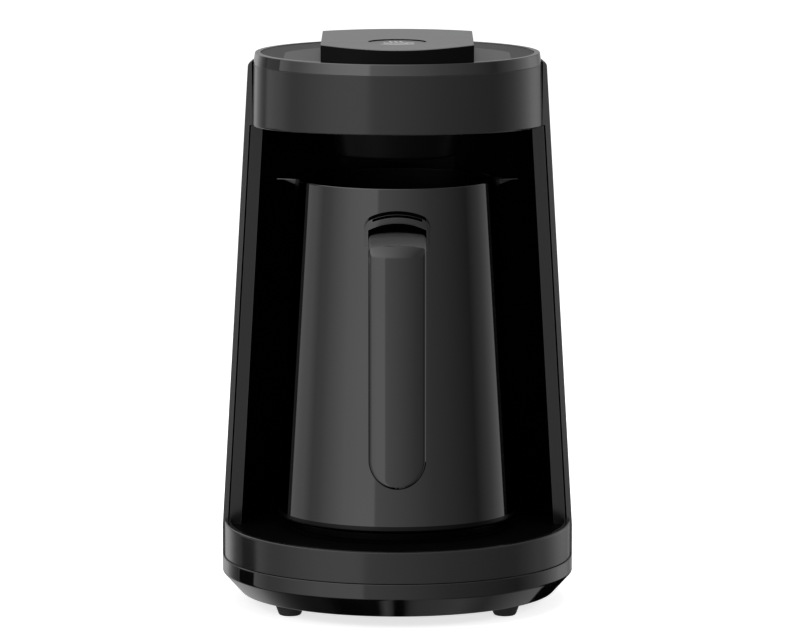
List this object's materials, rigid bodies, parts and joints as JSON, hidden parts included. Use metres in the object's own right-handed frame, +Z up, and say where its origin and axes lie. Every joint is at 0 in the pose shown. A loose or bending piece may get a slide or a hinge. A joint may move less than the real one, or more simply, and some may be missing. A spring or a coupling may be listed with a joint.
{
  "type": "electric turkish coffee maker",
  "caption": "Electric coffee maker: round heated base, column and round head with a start button, holding a conical pot with side spouts and a long handle.",
  "frame": {"origin": "on the ground, under the middle of the whole object's box", "axes": "+Z up, the front with the pot's handle towards -Y, +X to the right seen from the front"},
  "size_m": [0.156, 0.18, 0.2536],
  "materials": {
    "dark_gloss": "gloss, dark metallic lacquer",
    "black_satin": "satin, fine moulded grain",
    "dark_chrome": "polished, dark",
    "top_grey": "satin gloss, metallic lacquer",
    "block_grey": "satin gloss",
    "pot_steel": "satin, dark coating",
    "bracket_steel": "satin, dark coating",
    "handle_black": "satin gloss",
    "plate_steel": "brushed",
    "shield_aluminium": "bright",
    "spring_steel": "bright wire",
    "screw_steel": "zinc plated",
    "foot_rubber": "matt",
    "seal_rubber": "matt silicone",
    "board_green": "solder resist",
    "component_black": "matt",
    "connector_white": "matt",
    "wire_sleeve": "woven glass sleeve",
    "clear_lens": "polished, smoked"
  },
  "bodies": {
    "machine": {"base_lower_cover": "dark_gloss", "base_front_band": "dark_gloss", "base_deck": "black_satin", "rubber_feet": "foot_rubber", "niche_liner": "black_satin", "rear_housing": "dark_gloss", "cord_gland": "foot_rubber", "head_drum": "dark_gloss", "head_underside": "black_satin", "head_trim_ring": "dark_chrome", "head_top_plate": "top_grey", "control_block": "block_grey", "button_spring": "spring_steel", "control_board": "board_green", "key_switch": "component_black", "button_lamp": "clear_lens", "buzzer": "component_black", "loom_plug": "connector_white", "sensor_hood": "black_satin", "sensor_lens": "clear_lens", "sensor_board": "board_green", "foam_sensor": "screw_steel", "hot_plate": "plate_steel", "plate_gasket": "seal_rubber", "heating_element": "plate_steel", "terminal_beads": "connector_white", "heat_shield": "shield_aluminium", "plate_nuts": "screw_steel", "thermal_fuse": "connector_white", "pot_sensor_guide": "plate_steel", "pot_sensor_spring": "spring_steel", "power_board": "board_green", "relay": "component_black", "transformer": "component_black", "capacitor": "component_black", "terminal_block": "connector_white", "loom_connector": "connector_white", "heater_wires": "wire_sleeve", "wiring_loom": "wire_sleeve", "base_screws": "screw_steel", "housing_screws": "screw_steel", "liner_screws": "screw_steel", "head_screws": "screw_steel", "hood_screws": "screw_steel", "block_screws": "screw_steel", "control_board_screws": "screw_steel", "power_board_screws": "screw_steel"},
    "button": {"start_button": "block_grey"},
    "sensor": {"pot_sensor_plunger": "plate_steel"},
    "pot": {"pot_body": "pot_steel", "handle_bracket": "bracket_steel", "pot_handle": "handle_black", "handle_screw": "screw_steel"}
  },
  "joints": [
    {"name": "pot_slide", "type": "slide", "parent": "machine", "child": "pot", "axis": [0, -1, 0], "range_m": [0, 0.2]},
    {"name": "button_press", "type": "slide", "parent": "machine", "child": "button", "axis": [0, 0, 1], "range_m": [-0.0008, 0], "stiffness_N_per_m": 600, "springref_m": 0.001, "deforming": ["button_spring"]},
    {"name": "sensor_press", "type": "slide", "parent": "machine", "child": "sensor", "axis": [0, 0, 1], "range_m": [-0.0012, 0], "stiffness_N_per_m": 400, "springref_m": 0.0015, "deforming": ["pot_sensor_spring"]}
  ]
}
